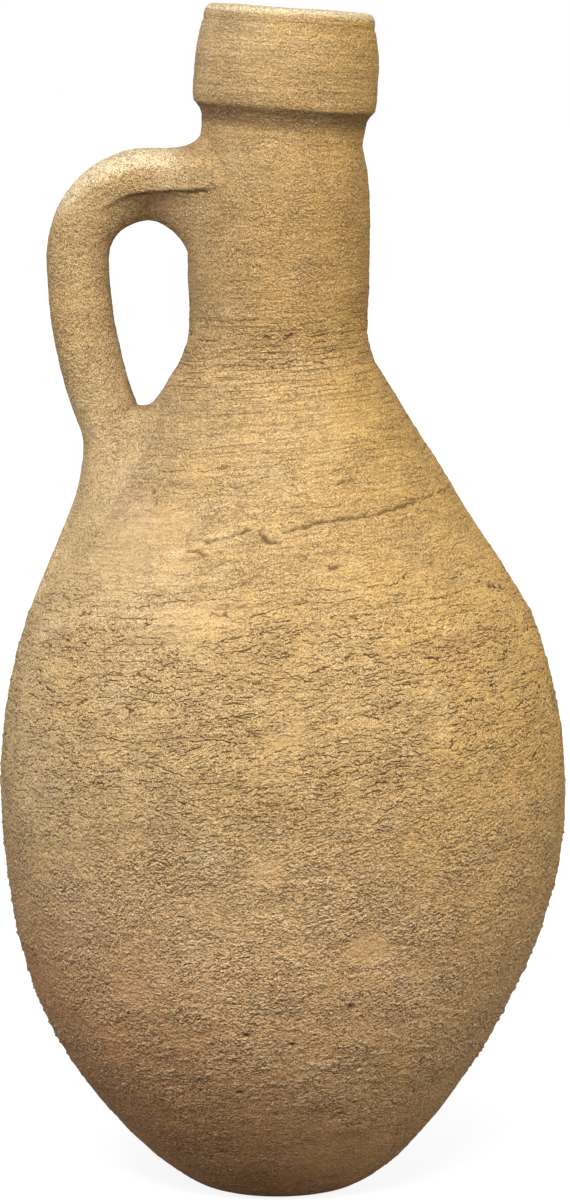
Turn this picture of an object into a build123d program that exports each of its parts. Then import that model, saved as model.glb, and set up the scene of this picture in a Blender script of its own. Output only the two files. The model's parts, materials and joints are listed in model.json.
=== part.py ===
import os
from math import cos, degrees, hypot, radians, sin, tan

from build123d import *

# Storage jar of coarse clay: a round-bottomed body raised in four luted sections, a narrow neck,
# a leaning collar at the mouth and one loop handle. Millimetres, +Z up, origin in the middle of the foot.

# Outside of the body, each station a radius, a height and where needed a slope, as rise over run
foot_radius = 34.0
foot_slope = 0.12
heel_radius = 57.8
heel_height = 12.0
heel_slope = 0.83
flank_radius = 118.8
flank_height = 95.0
flank_slope = 2.2
belly_radius = 143.1
belly_height = 206.0
crest_radius = 138.5
crest_height = 252.0
crest_slope = -6.0
break_radius = 127.2
break_height = 294.0
break_slope = -3.4
neck_radius = 44.5
neck_foot_height = 428.0

# Wall
floor_thickness = 15.0
body_wall = 11.0
neck_wall = 9.5

# Joints between the sections of wall, each at the middle of the wall
base_joint_radius = 84.0
base_joint_height = 50.0
flank_joint_radius = 132.0
flank_joint_height = 152.0
shoulder_joint_radius = 122.0
shoulder_joint_height = 288.0
neck_joint_radius = 41.0
neck_joint_height = 431.0
joint_bevel = 28.0

# Neck and mouth
waist_radius = 45.6
waist_height = 480.0
throat_radius = 39.9
throat_bore_radius = 32.2
throat_height = 534.0
mouth_lean = 4.0
spigot_radius = 40.6
spigot_length = 45.0
mouth_radius = 31.0

# Collar, heights measured up the leaning mouth
collar_foot_width = 1.0
collar_foot_height = 5.0
collar_edge_radius = 45.4
collar_edge_height = 14.5
collar_radius = 46.0
collar_swell_height = 29.0
collar_top_radius = 43.4
collar_top_height = 54.0
collar_groove = 3.0
collar_groove_depth = 1.1
lip_setback = 0.5
lip_crown_radius = 37.5
lip_height = 63.5
lip_seat_height = 55.0

# Clay smeared into the angle of neck and shoulder
neck_luting_rise = 11.0
neck_luting_run = 11.0
neck_luting_hollow = 60.0

# Handle, along the middle of its roll
handle_reach = 103.4
handle_arm_height = 508.0
handle_bend = 36.0
handle_sweep = 200.0
handle_foot_angle = 29.0
handle_thickness = 33.0
handle_width = 38.0
root_depth = 22.0

# Clay worked round the handle's roots: its spread inside the wall, its length along the roll and its lap
top_luting_height = 84.0
top_luting_width = 72.0
top_luting_length = 19.0
top_luting_drop = 8.0
top_luting_waist = 0.3
foot_luting_height = 164.0
foot_luting_width = 96.0
foot_luting_length = 28.0
foot_luting_drop = 50.0
foot_luting_sink = 14.0
foot_luting_rise = 5.0
foot_luting_waist = 0.42
luting_lap = 2.6

# Film of slip that the luted clay is bedded in
slip_film = 0.3

os.makedirs("parts", exist_ok=True)


def inset(point, run, depth):
    # a point of the outline moved into the clay, square to the direction the outline runs in
    length = hypot(*run)
    return (point[0] - depth * run[1] / length, point[1] + depth * run[0] / length)


# Directions in which the outline runs, outwards and up
foot_run = (1, foot_slope)
heel_run = (1, heel_slope)
flank_run = (1, flank_slope)
crest_run = (-1, -crest_slope)
break_run = (-1, -break_slope)
upright = (0, 1)
neck_foot_run = (0.02, 1)
waist_run = (-0.02, 1)
throat_run = (-0.06, 1)
collar_foot_run = (1, 0.8)
collar_edge_run = (0.3, 1)
collar_top_run = (-0.24, 1)
cone_run = (neck_radius - break_radius, neck_foot_height - break_height)
cone_length = hypot(*cone_run)

heel = (heel_radius, heel_height)
flank = (flank_radius, flank_height)
belly = (belly_radius, belly_height)
crest = (crest_radius, crest_height)
shoulder_break = (break_radius, break_height)
neck_foot = (neck_radius, neck_foot_height)
waist = (waist_radius, waist_height)
throat = (throat_radius, throat_height)
stub_height = throat_height + 2 * throat_radius * tan(radians(mouth_lean))
bore_radius = neck_radius - neck_wall
inner_break = inset(shoulder_break, cone_run, body_wall)
inner_neck_foot = (bore_radius, inner_break[1] + (bore_radius - inner_break[0]) * cone_run[1] / cone_run[0])

# Half-section of everything inside the outer skin, and of the hollow
with BuildSketch(Plane.XZ) as envelope:
    with BuildLine():
        Line((0, 0), (foot_radius, 0))
        Spline(
            (foot_radius, 0),
            heel,
            flank,
            belly,
            crest,
            shoulder_break,
            tangents=[foot_run, heel_run, flank_run, upright, crest_run, break_run],
        )
        Line(shoulder_break, neck_foot)
        Spline(neck_foot, waist, throat, tangents=[neck_foot_run, waist_run, throat_run])
        Line(throat, (throat_radius, stub_height))
        Line((throat_radius, stub_height), (0, stub_height))
        Line((0, stub_height), (0, 0))
    make_face()

with BuildSketch(Plane.XZ) as hollow:
    with BuildLine():
        Spline(
            (0, floor_thickness),
            inset(heel, heel_run, body_wall),
            inset(flank, flank_run, body_wall),
            inset(belly, upright, body_wall),
            inset(crest, crest_run, body_wall),
            inner_break,
            tangents=[(1, 0), heel_run, flank_run, upright, crest_run, break_run],
        )
        Line(inner_break, inner_neck_foot)
        Spline(inner_neck_foot, (throat_bore_radius, throat_height), tangents=[upright, upright])
        Line((throat_bore_radius, throat_height), (throat_bore_radius, stub_height))
        Line((throat_bore_radius, stub_height), (0, stub_height))
        Line((0, stub_height), (0, floor_thickness))
    make_face()


def joint_line(radius, height):
    # a bevelled joint, higher at the axis, so that each section laps over the outside of the one below
    far = 2 * belly_radius
    drop = tan(radians(joint_bevel))
    return [(0, height + radius * drop), (far, height - (far - radius) * drop)]


below_foot = [(0, -belly_radius), (2 * belly_radius, -2 * belly_radius)]
base_joint = joint_line(base_joint_radius, base_joint_height)
flank_joint = joint_line(flank_joint_radius, flank_joint_height)
shoulder_joint = joint_line(shoulder_joint_radius, shoulder_joint_height)
neck_joint = joint_line(neck_joint_radius, neck_joint_height)
above_stub = [(0, 2 * stub_height), (2 * belly_radius, 2 * stub_height)]


def wall_section(lower, upper):
    # the part of the wall's half-section between two joint lines
    with BuildSketch(Plane.XZ) as band:
        add(envelope.sketch)
        add(hollow.sketch, mode=Mode.SUBTRACT)
        with BuildLine():
            Polyline(*lower, *reversed(upper), close=True)
        make_face(mode=Mode.INTERSECT)
    return band.sketch


with BuildPart() as base_bowl:
    add(wall_section(below_foot, base_joint))
    revolve(axis=Axis.Z)
base_bowl.part.label = "base_bowl"
export_step(base_bowl.part, "parts/base_bowl.step")

with BuildPart() as lower_wall:
    add(wall_section(base_joint, flank_joint))
    revolve(axis=Axis.Z)
lower_wall.part.label = "lower_wall"
export_step(lower_wall.part, "parts/lower_wall.step")

with BuildPart() as belly_wall:
    add(wall_section(flank_joint, shoulder_joint))
    revolve(axis=Axis.Z)
belly_wall.part.label = "belly_wall"
export_step(belly_wall.part, "parts/belly_wall.step")

with BuildPart() as shoulder:
    add(wall_section(shoulder_joint, neck_joint))
    revolve(axis=Axis.Z)
shoulder.part.label = "shoulder"
export_step(shoulder.part, "parts/shoulder.step")

# The mouth leans towards +X, away from the handle
lean = radians(mouth_lean)
mouth_across = (cos(lean), 0, -sin(lean))
mouth_plane = Plane(origin=(0, 0, throat_height), x_dir=mouth_across, z_dir=(sin(lean), 0, cos(lean)))
mouth_section = Plane(origin=(0, 0, throat_height), x_dir=mouth_across, z_dir=(0, -1, 0))

# Everything within the outer skin, up through the spigot, for trimming the pieces pressed on from outside
with BuildPart() as outside:
    add(envelope.sketch)
    revolve(axis=Axis.Z)
    with BuildSketch(mouth_plane):
        Circle(spigot_radius)
    extrude(amount=lip_height)

with BuildPart() as neck:
    add(wall_section(neck_joint, above_stub))
    revolve(axis=Axis.Z)
    with Locations(mouth_plane):
        Cylinder(
            2 * throat_radius,
            throat_height,
            align=(Align.CENTER, Align.CENTER, Align.MIN),
            mode=Mode.SUBTRACT,
        )
    with BuildSketch(mouth_plane):
        Circle(spigot_radius)
        Circle(mouth_radius, mode=Mode.SUBTRACT)
    extrude(amount=spigot_length)
neck.part.label = "neck"
export_step(neck.part, "parts/neck.step")

# The collar sits over the spigot, and its lip closes over the spigot's end
collar_foot = (spigot_radius + collar_foot_width, collar_foot_height)
lip_foot = (collar_top_radius - lip_setback, collar_top_height + collar_groove)
with BuildPart() as rim_collar:
    with BuildSketch(mouth_section):
        with BuildLine():
            Line((spigot_radius, collar_foot_height), collar_foot)
            Spline(
                collar_foot,
                (collar_edge_radius, collar_edge_height),
                (collar_radius, collar_swell_height),
                (collar_top_radius, collar_top_height),
                tangents=[collar_foot_run, collar_edge_run, upright, collar_top_run],
            )
            ThreePointArc(
                (collar_top_radius, collar_top_height),
                (collar_top_radius - collar_groove_depth, collar_top_height + collar_groove / 2),
                lip_foot,
            )
            Spline(
                lip_foot,
                (lip_crown_radius, lip_height),
                (mouth_radius, lip_seat_height),
                tangents=[upright, (-1, 0), (0, -1)],
            )
            Line((mouth_radius, lip_seat_height), (mouth_radius, spigot_length))
            Line((mouth_radius, spigot_length), (spigot_radius, spigot_length))
            Line((spigot_radius, spigot_length), (spigot_radius, collar_foot_height))
        make_face()
    revolve(axis=Axis(mouth_section.origin, mouth_section.y_dir))
rim_collar.part.label = "rim_collar"
export_step(rim_collar.part, "parts/rim_collar.step")

cone_step = neck_luting_run / cone_length
luting_low = (neck_radius - cone_run[0] * cone_step, neck_foot_height - cone_run[1] * cone_step)
luting_high = (neck_radius, neck_foot_height + neck_luting_rise)
with BuildPart() as neck_luting:
    with BuildSketch(Plane.XZ):
        with BuildLine():
            RadiusArc(luting_low, luting_high, neck_luting_hollow)
            Polyline(luting_high, (bore_radius, neck_foot_height), luting_low)
        make_face()
        add(envelope.sketch.moved(Location((slip_film, 0, 0))), mode=Mode.SUBTRACT)
    revolve(axis=Axis.Z)
neck_luting.part.label = "neck_luting"
export_step(neck_luting.part, "parts/neck_luting.step")

# The loop leaves the neck level, turns down, and runs in to the shoulder on a wide arc
root_angle = degrees(root_depth / handle_sweep)
with BuildLine(Plane.XZ) as roll:
    arm = Line((root_depth - neck_radius, handle_arm_height), (handle_bend - handle_reach, handle_arm_height))
    turn = JernArc(arm @ 1, (-1, 0), handle_bend, 90)
    grip = JernArc(turn @ 1, (0, -1), handle_sweep, handle_foot_angle + root_angle)


def roll_section(place, thicker=0.0, wider=0.0, drop=0.0):
    # oval across the roll, its short side in the plane of the loop, moved by drop to the outside of the loop
    half_thick = (handle_thickness + thicker) / 2
    half_wide = (handle_width + wider) / 2
    with BuildSketch(Plane(place)) as oval:
        with BuildLine():
            Spline(
                (half_thick - drop, 0),
                (-drop, half_wide),
                (-half_thick - drop, 0),
                (-drop, -half_wide),
                periodic=True,
            )
        make_face()
    return oval.sketch


with BuildPart() as handle:
    sweep(roll_section(arm ^ 0), path=roll.wire())
    add(outside.part, mode=Mode.SUBTRACT)
handle.part.label = "handle"
export_step(handle.part, "parts/handle.step")

# Room that the roll takes up in the clay around its roots
with BuildPart() as roll_room:
    sweep(roll_section(arm ^ 0, 2 * slip_film, 2 * slip_film), path=roll.wire())

# Each luting flares from the roll to the wall, and gives way to the pieces it is pressed against
arm_length = handle_reach - handle_bend - neck_radius + root_depth
top_tall = top_luting_height - handle_thickness
top_wide = top_luting_width - handle_width
top_waist_place = arm ^ ((root_depth + top_luting_length / 4) / arm_length)
top_end_place = arm ^ ((root_depth + top_luting_length) / arm_length)
with BuildPart() as handle_top_luting:
    add(roll_section(arm ^ 0, top_tall, top_wide, -top_luting_drop))
    add(
        roll_section(
            top_waist_place,
            top_luting_waist * top_tall,
            top_luting_waist * top_wide,
            -top_luting_waist * top_luting_drop,
        )
    )
    add(roll_section(top_end_place, luting_lap, luting_lap))
    loft()
    add(outside.part, mode=Mode.SUBTRACT)
    add(rim_collar.part, mode=Mode.SUBTRACT)
    add(roll_room.part, mode=Mode.SUBTRACT)
handle_top_luting.part.label = "handle_top_luting"
export_step(handle_top_luting.part, "parts/handle_top_luting.step")

# The foot's luting starts on a plane sunk below the cone, under the point where the roll meets it, and is
# drawn out downhill into a tail that ends on the cone
grip_length = radians(handle_foot_angle) * handle_sweep + root_depth
meeting = grip @ (1 - root_depth / grip_length)
uphill = (cone_run[0] / cone_length, cone_run[1] / cone_length)
climb = (-meeting.X - break_radius) * uphill[0] + (meeting.Z - break_height) * uphill[1]
foot_plane = Plane(
    origin=(-break_radius - climb * uphill[0], 0, break_height + climb * uphill[1]),
    x_dir=(-uphill[0], 0, uphill[1]),
    z_dir=(uphill[1], 0, uphill[0]),
)
foot_tall = foot_luting_height - handle_thickness
foot_wide = foot_luting_width - handle_width
foot_end_place = grip ^ (1 - (root_depth + foot_luting_length) / grip_length)
with BuildPart() as handle_foot_luting:
    add(roll_section(foot_plane.offset(foot_luting_sink).location, foot_tall, foot_wide, foot_luting_drop))
    add(
        roll_section(
            foot_plane.offset(-foot_luting_rise).location,
            foot_luting_waist * foot_tall,
            foot_luting_waist * foot_wide,
            foot_luting_waist * foot_luting_drop,
        )
    )
    add(roll_section(foot_end_place, luting_lap, luting_lap))
    loft()
    split(bisect_by=Plane.XY.offset(break_height), keep=Keep.TOP)
    add(outside.part, mode=Mode.SUBTRACT)
    add(neck_luting.part, mode=Mode.SUBTRACT)
    add(roll_room.part, mode=Mode.SUBTRACT)
handle_foot_luting.part.label = "handle_foot_luting"
export_step(handle_foot_luting.part, "parts/handle_foot_luting.step")
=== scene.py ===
import json
import math

import bpy
import numpy as np
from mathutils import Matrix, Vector


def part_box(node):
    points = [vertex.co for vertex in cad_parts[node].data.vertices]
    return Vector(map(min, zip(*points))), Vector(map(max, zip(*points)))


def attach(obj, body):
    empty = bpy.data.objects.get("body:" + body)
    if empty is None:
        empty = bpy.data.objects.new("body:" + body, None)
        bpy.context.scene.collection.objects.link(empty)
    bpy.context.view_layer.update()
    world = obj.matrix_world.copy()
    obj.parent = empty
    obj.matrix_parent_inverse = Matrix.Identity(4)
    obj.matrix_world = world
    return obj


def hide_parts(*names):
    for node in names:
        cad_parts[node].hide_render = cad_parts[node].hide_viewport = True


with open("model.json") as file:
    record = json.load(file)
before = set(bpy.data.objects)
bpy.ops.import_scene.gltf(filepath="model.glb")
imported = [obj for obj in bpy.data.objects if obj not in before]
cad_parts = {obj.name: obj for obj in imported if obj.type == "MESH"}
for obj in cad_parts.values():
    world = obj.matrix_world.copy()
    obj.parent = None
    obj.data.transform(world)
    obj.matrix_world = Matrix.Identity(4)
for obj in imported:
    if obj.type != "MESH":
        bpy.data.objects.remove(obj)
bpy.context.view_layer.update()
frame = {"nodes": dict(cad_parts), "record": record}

# Storage jar of coarse buff clay: thrown in courses and luted together, a heavy collar, one loop handle.
# Everything is in metres in the jar's own frame; settings are in millimetres and are multiplied by mm.
scene = bpy.context.scene
bpy.context.view_layer.update()
mm = 0.001
print("frame loaded:", len(frame["nodes"]), "nodes")


# Node helpers, the same for geometry and material trees

def put(tree, kind, ins=None, **settings):
    node = tree.nodes.new(kind)
    for name, value in settings.items():
        setattr(node, name, value)
    for key, value in (ins or {}).items():
        if isinstance(value, bpy.types.NodeSocket):
            tree.links.new(value, node.inputs[key])
        else:
            node.inputs[key].default_value = value
    return node


def calc(tree, operation, a, b=0.0, c=0.0):
    return put(tree, "ShaderNodeMath", {0: a, 1: b, 2: c}, operation=operation).outputs[0]


def times(tree, *factors):
    product = factors[0]
    for factor in factors[1:]:
        product = calc(tree, "MULTIPLY", product, factor)
    return product


def total(tree, *terms):
    result = terms[0]
    for term in terms[1:]:
        result = calc(tree, "ADD", result, term)
    return result


def ramp(tree, value, start, end, low=0.0, high=1.0):
    ins = {"Value": value, "From Min": start, "From Max": end, "To Min": low, "To Max": high}
    return put(tree, "ShaderNodeMapRange", ins, interpolation_type="SMOOTHSTEP").outputs["Result"]


def split(tree, vector):
    return put(tree, "ShaderNodeSeparateXYZ", {0: vector}).outputs


def join(tree, x, y, z):
    return put(tree, "ShaderNodeCombineXYZ", {0: x, 1: y, 2: z}).outputs[0]


def vectors(tree, operation, *ins):
    return put(tree, "ShaderNodeVectorMath", dict(enumerate(ins)), operation=operation).outputs


def scaled(tree, vector, size):
    return put(tree, "ShaderNodeVectorMath", {0: vector, "Scale": size}, operation="SCALE").outputs[0]


def noise(tree, place, size, detail=2.0, roughness=0.5):
    ins = {"Vector": place, "Scale": 1 / size, "Detail": detail, "Roughness": roughness}
    return put(tree, "ShaderNodeTexNoise", ins).outputs[0]


def centred(tree, place, size, detail=2.0, roughness=0.5):
    return calc(tree, "SUBTRACT", noise(tree, place, size, detail, roughness), 0.5)


def cells(tree, place, size):
    node = put(tree, "ShaderNodeTexVoronoi", {"Vector": place, "Scale": 1 / size})
    return node.outputs["Distance"], split(tree, node.outputs["Color"])[0]


def curve(tree, height, points):
    # a strength that changes from the foot (0) to the lip (1)
    high = times(tree, height, 1 / handwork["jarHeight"])
    node = put(tree, "ShaderNodeFloatCurve", {"Value": high})
    line = node.mapping.curves[0]
    line.points[0].location = points[0]
    line.points[1].location = points[-1]
    for point in points[1:-1]:
        line.points.new(*point)
    node.mapping.update()
    return node.outputs[0]


def newTree(name, *inputs):
    tree = bpy.data.node_groups.new(name, "GeometryNodeTree")
    tree.is_modifier = True
    tree.interface.new_socket(name="Geometry", in_out="OUTPUT", socket_type="NodeSocketGeometry")
    tree.interface.new_socket(name="Geometry", in_out="INPUT", socket_type="NodeSocketGeometry")
    for label, kind, value in inputs:
        socket = tree.interface.new_socket(name=label, in_out="INPUT", socket_type="NodeSocket" + kind)
        if value is not None:
            socket.default_value = value
    return tree, tree.nodes.new("NodeGroupInput").outputs


def attribute(tree, name, kind="FLOAT"):
    return put(tree, "GeometryNodeInputNamedAttribute", {"Name": name}, data_type=kind).outputs["Attribute"]


def keep(tree, geometry, name, value, kind="FLOAT", domain="POINT"):
    ins = {"Geometry": geometry, "Name": name, "Value": value}
    node = put(tree, "GeometryNodeStoreNamedAttribute", ins, data_type=kind, domain=domain)
    return node.outputs["Geometry"]


def setInputs(modifier, **values):
    for item in modifier.node_group.interface.items_tree:
        if item.in_out == "INPUT" and item.name in values:
            modifier[item.identifier] = values[item.name]


def finishTree(tree, geometry, material):
    real = put(tree, "GeometryNodeRealizeInstances", {"Geometry": geometry})
    dressed = put(tree, "GeometryNodeSetMaterial", {"Geometry": real.outputs[0], "Material": material})
    put(tree, "NodeGroupOutput", {0: dressed.outputs[0]})
    return tree


# Outline of the jar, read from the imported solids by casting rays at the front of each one

wallNodes = ["base_bowl", "lower_wall", "belly_wall", "shoulder", "neck"]
wall = {
    "columns": 480,
    "rowStep": 0.85,     # on the outside
    # spacing of the rows of single courses against it
    "closer": {"base_bowl": 0.62, "lower_wall": 0.76, "shoulder": 1.12},
    "samples": 800,                         # for spacing the rows evenly along the outline
    "innerStep": 7.0,
    "innerClear": 0.2,                      # rays inside keep this far from the edges of a joint
    "outlineStep": 1.0,
    "lowest": 0.2,                          # lowest height that is read
    "offEdge": 0.1,                         # and how far above a joint's edge the reading starts
    "slopeWindow": 5,                       # readings that a slope is averaged over
    "firstRow": 0.3,                        # height of the first row above the foot
    "footReach": 0.98,                      # how far out the rows under the foot go
    "jointRows": 3,
    "floor": 15.5,                          # height of the floor inside
    "footRows": 24,
    "throatGap": 4.0,                       # the upright outline ends this far below the leaning throat
    "easing": 7.0,                          # height over which the relief grows from the foot
    "insideRelief": 0.4,                    # relief inside the mouth against that outside
    # how much of the bake's map a row gets
    "mapShare": {"skin": 1.0, "foot": 0.5, "inside": 0.4, "hidden": 0.12, "spigot": 0.1},
    # height, and how far the scraped heel stands in there
    "scraped": [(0, 2.5), (4, 3.2), (9, 2.6), (16, 1.8), (36, 1.7), (47, 1.2), (70, 0.5), (95, 0.0)],
    # height and sideways drift of the middle: no thrown jar is quite straight
    "drift": [(0, -3.0), (60, -5.0), (85, -5.2), (105, -4.2), (136, -2.2), (166, -0.5), (207, 0.0),
              (249, -0.7), (280, -1.5), (350, -2.8), (410, -3.2), (440, -2.5), (480, -2.2), (530, -0.6),
              (541, -0.1), (552, -0.8), (600, -1.2)],
}


def castAcross(node, middle, outside):
    # radius of a solid at the front, read from outside it or from its middle
    start = middle + Vector((0, -1, 0)) if outside else middle
    heading = Vector((0, 1, 0)) if outside else Vector((0, -1, 0))
    hit, place = frame["nodes"][node].ray_cast(start, heading)[:2]
    return -place.y if hit else None


def skinRadius(node, height, outside=True):
    return castAcross(node, Vector((0, 0, height)), outside)


def driftAt(height):
    heights, drifts = zip(*wall["drift"])
    return np.interp(height, np.array(heights) * mm, np.array(drifts) * mm)


def outlineAt(height):
    return np.interp(height, skinHeights, skinRadii)


# the lowest point of each course is the outer edge of its joint, and its highest point the inner edge
jointOut = {node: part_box(node)[0].z for node in wallNodes}
jointIn = {node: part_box(node)[1].z for node in wallNodes}
mouth = next(m for m in frame["record"]["mounts"] if m["name"] == "mouth")
mouthAxis = Vector(mouth["axis"]).normalized()
throat = Vector(mouth["pos_m"])
throat -= mouthAxis * (throat.x / mouthAxis.x)      # where the mouth's leaning axis leaves the jar's own

skinHeights = []
skinRadii = []
throatStop = throat.z - wall["throatGap"] * mm
tops = [jointOut[node] for node in wallNodes[1:]] + [throatStop]
for node, top in zip(wallNodes, tops):
    first = max(jointOut[node], wall["lowest"] * mm) + wall["offEdge"] * mm
    for height in np.arange(first, top, wall["outlineStep"] * mm):
        radius = skinRadius(node, float(height))
        if radius:
            skinHeights.append(float(height))
            skinRadii.append(radius)
skinHeights = np.array(skinHeights)
skinRadii = np.array(skinRadii) - np.interp(skinHeights / mm, *zip(*wall["scraped"])) * mm
plainSlopes = np.gradient(skinRadii, skinHeights)
skinSlopes = np.convolve(plainSlopes, np.ones(wall["slopeWindow"]) / wall["slopeWindow"], "same")
atEnd = wall["slopeWindow"] // 2        # there is nothing to average with at the two ends
skinSlopes[:atEnd] = plainSlopes[:atEnd]
skinSlopes[-atEnd:] = plainSlopes[-atEnd:]
print("outline read:", len(skinHeights), "heights")


# What the potter's hands and tools left on the clay, in millimetres

handwork = {
    "ringSlope": (0.09, -0.07),     # rise of the drag lines to the right, on the body and at the mouth
    "ringTurn": (400.0, 540.0),     # heights between which the one goes over into the other
    # torn ledges and finer drag lines: how far apart, how they wander and curl, and how they are broken up
    "ledge": {"spacing": 5.6, "reach": 45.0, "wander": 3.4, "lineWidth": 0.13, "curlSize": 3.4, "curl": 2.4,
              "breakSize": 4.0, "breakLong": 7.0, "breakShare": (0.45, 0.53)},
    "drag": {"spacing": 3.0, "reach": 70.0, "wander": 2.4, "lineWidth": 0.2, "curlSize": 2.4, "curl": 0.5,
             "breakSize": 2.6, "breakLong": 15.0, "breakShare": (0.47, 0.56)},
    "ledgeDepth": 0.5,
    "lineStart": 0.02,              # a ledge's line goes from here to its width, as shares of the spacing
    "lineDepth": 0.7,               # depth of that line against the ledge
    "wanderRise": 0.35,             # how soon a line's course changes with height
    "ledgePatch": (0.28, 0.46),     # range of the noise where they come up, and its length and height
    "patchLong": 30.0,
    "patchHigh": 14.0,
    "grain": (1.9, 3.0, 0.65),      # size, detail and roughness of the noise
    "grainDepth": 0.5,
    "pebble": (4.6, 2.0, 0.55),
    "pebbleDepth": 0.5,
    "swellSize": 46.0,              # broad unevenness of the wall
    "swellDepth": 2.2,
    "ringSize": 12.0,               # rings left by the throwing
    "ringLong": 90.0,
    "ringDepth": 1.1,
    "pit": (5.2, 0.38, 0.05, 0.2),          # spacing, share of places that have one, inner and outer edge
    "pitDepth": 0.6,
    "crumb": (2.7, 0.5, 0.12, 0.42),        # the same of the crumbs
    "crumbDepth": 0.9,
    "seed": 5,
    "tearPoints": 8,                        # points of a tear for each one that is given
    "tearJitter": 0.35,
    "tearWidth": 0.9,
    "tearRagged": 1.8,
    "tearDepth": 1.0,
    "tearZone": (90.0, 300.0, 0.45, 1.0),   # heights, and how strong the tears are at each
    "pockWidth": 1.6,
    "pockRagged": 2.6,
    "pockDepth": 1.5,
    "raggedSizes": (2.0, 12.0),             # of the teeth in the edges of tears and pocks
    "core": 0.25,                           # share of their width where they are at full depth
    "jarHeight": 600.0,
    # how strong the ledges, the drag lines and the crumbs are, from the foot (0) to the lip (1)
    "ledgeZone": [(0.0, 0.0), (0.2, 0.1), (0.33, 0.45), (0.4, 1.0), (0.52, 1.0), (0.55, 0.55), (0.62, 0.75),
                  (0.68, 0.45), (0.715, 1.0), (0.74, 0.6), (0.8, 0.35), (1.0, 0.3)],
    "dragZone": [(0.0, 0.0), (0.3, 0.15), (0.4, 0.5), (0.5, 0.5), (0.56, 0.35), (0.62, 0.5), (0.67, 0.75),
                 (0.695, 1.0), (0.725, 1.0), (0.745, 0.25), (0.9, 0.2), (0.95, 0.5), (1.0, 0.5)],
    "crumbZone": [(0.0, 0.15), (0.09, 0.3), (0.15, 1.0), (0.27, 0.9), (0.36, 0.4), (0.6, 0.15), (1.0, 0.1)],
    # angle from the front to the right, height, radius and strength of places that a wet hand wiped smooth
    "wiped": [(1, 247, 17, 0.5), (-3, 183, 16, 0.5), (-42, 335, 50, 0.5), (-20, 300, 28, 0.4),
              (30, 395, 24, 0.4), (19, 142, 17, 0.6), (-34, 118, 20, 0.5), (20, 26, 50, 0.5),
              (150, 260, 44, 0.5), (-130, 190, 40, 0.5)],
    "wipedFlat": 1.7,               # width of such a place against its height
    "wipedTooth": (7.0, 3.0, 0.65),  # noise that makes its edge ragged: size, detail and roughness
    "wipedRagged": 2.2,
    "wipedCore": 0.45,              # share of its radius where it is at full strength
    "smoothing": 0.8,               # how much of the relief a full wipe takes away
    # angle and height along each tear in the skin
    "tears": [
        [(-25.5, 333.7), (-22.5, 333.4), (-20.5, 332.1)],
        [(-21.2, 337.7), (-16.8, 340.2), (-14.5, 341), (-10.3, 343), (-7.7, 344.2)],
        [(-5.6, 343.4), (-4.1, 340.6), (-2.9, 338.8), (0.4, 338.3)],
        [(1.3, 342.9), (3.6, 343.4), (6.5, 345.2), (8.3, 345.6), (10.4, 346.7), (16.4, 348.2), (21.7, 349.3),
         (29.8, 349.9), (40.5, 352.9), (51.5, 354.9), (64.9, 357.7), (82.7, 358.4)],
        [(-3.7, 431.5), (4.3, 434), (9.2, 436.4)],
        [(-41, 430.3), (-32, 429.6), (-23.7, 428.8)],
        [(13.4, 326.4), (16, 327)],
        [(21, 365), (24, 366.8), (28, 367)],
        [(-37.4, 508.6), (-29, 509), (-21.6, 508)],
        [(22.5, 79), (23.9, 84.6), (23.2, 90)],
        [(17.6, 49.6), (19.2, 51.2), (20.2, 53.3), (22.4, 53.8)],
        [(26, 70), (30.6, 68), (35.4, 75.3)],
    ],
    # angle and height of single pits
    "pocks": [(-76, 330.5), (-51.8, 278.6), (-71, 281.6), (-4.5, 272.9), (-1.4, 271.6), (-45.7, 359.8),
              (59.5, 303.7), (59.9, 266.5), (20.2, 53.3), (16.8, 112.5), (-6.7, 97.4), (4.3, 93.1),
              (-9.2, 66.3), (140, 300), (175, 240), (-140, 210), (110, 330)],
}


def overSkin(angle, height):
    turn = math.radians(angle)
    radius = float(outlineAt(height * mm))
    x = radius * math.sin(turn) + float(driftAt(height * mm))
    return Vector((x, -radius * math.cos(turn), height * mm))


def newPiece(name, places, edges=(), faces=()):
    mesh = bpy.data.meshes.new(name)
    mesh.from_pydata(places, edges, faces)
    piece = bpy.data.objects.new(name, mesh)
    scene.collection.objects.link(piece)
    return piece


# lines and points that the relief is worked along
tearPlaces = []
tearEdges = []
jitter = np.random.default_rng(handwork["seed"])
for tear in handwork["tears"]:
    first = len(tearPlaces)
    angles, heights = zip(*tear)
    for t in np.linspace(0, len(tear) - 1, handwork["tearPoints"] * len(tear)):
        height = np.interp(t, range(len(tear)), heights) + jitter.normal(0, handwork["tearJitter"])
        tearPlaces.append(overSkin(np.interp(t, range(len(tear)), angles), height))
    tearEdges += [(i, i + 1) for i in range(first, len(tearPlaces) - 1)]
tearGuide = newPiece("tearGuide", tearPlaces, tearEdges)
pockGuide = newPiece("pockGuide", [overSkin(*pock) for pock in handwork["pocks"]])
helpers = [tearGuide, pockGuide]        # taken away when the pieces are made


def slantHeight(tree, place):
    spot = split(tree, place)
    slope = ramp(tree, spot["Z"], *handwork["ringTurn"], *handwork["ringSlope"])
    return calc(tree, "SUBTRACT", spot["Z"], times(tree, spot["X"], slope))


def wipedField(tree, place):
    field = 0.0
    tooth = centred(tree, place, *handwork["wipedTooth"])
    for angle, height, radius, strength in handwork["wiped"]:
        apart = vectors(tree, "SUBTRACT", place, overSkin(angle, height) / mm)[0]
        apart = vectors(tree, "MULTIPLY", apart, (1.0, 1.0, handwork["wipedFlat"]))[0]
        away = vectors(tree, "LENGTH", apart)["Value"]
        ragged = total(tree, away, times(tree, tooth, handwork["wipedRagged"] * radius))
        patch = ramp(tree, ragged, handwork["wipedCore"] * radius, radius, strength, 0.0)
        field = calc(tree, "MAXIMUM", field, patch)
    return field


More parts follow.
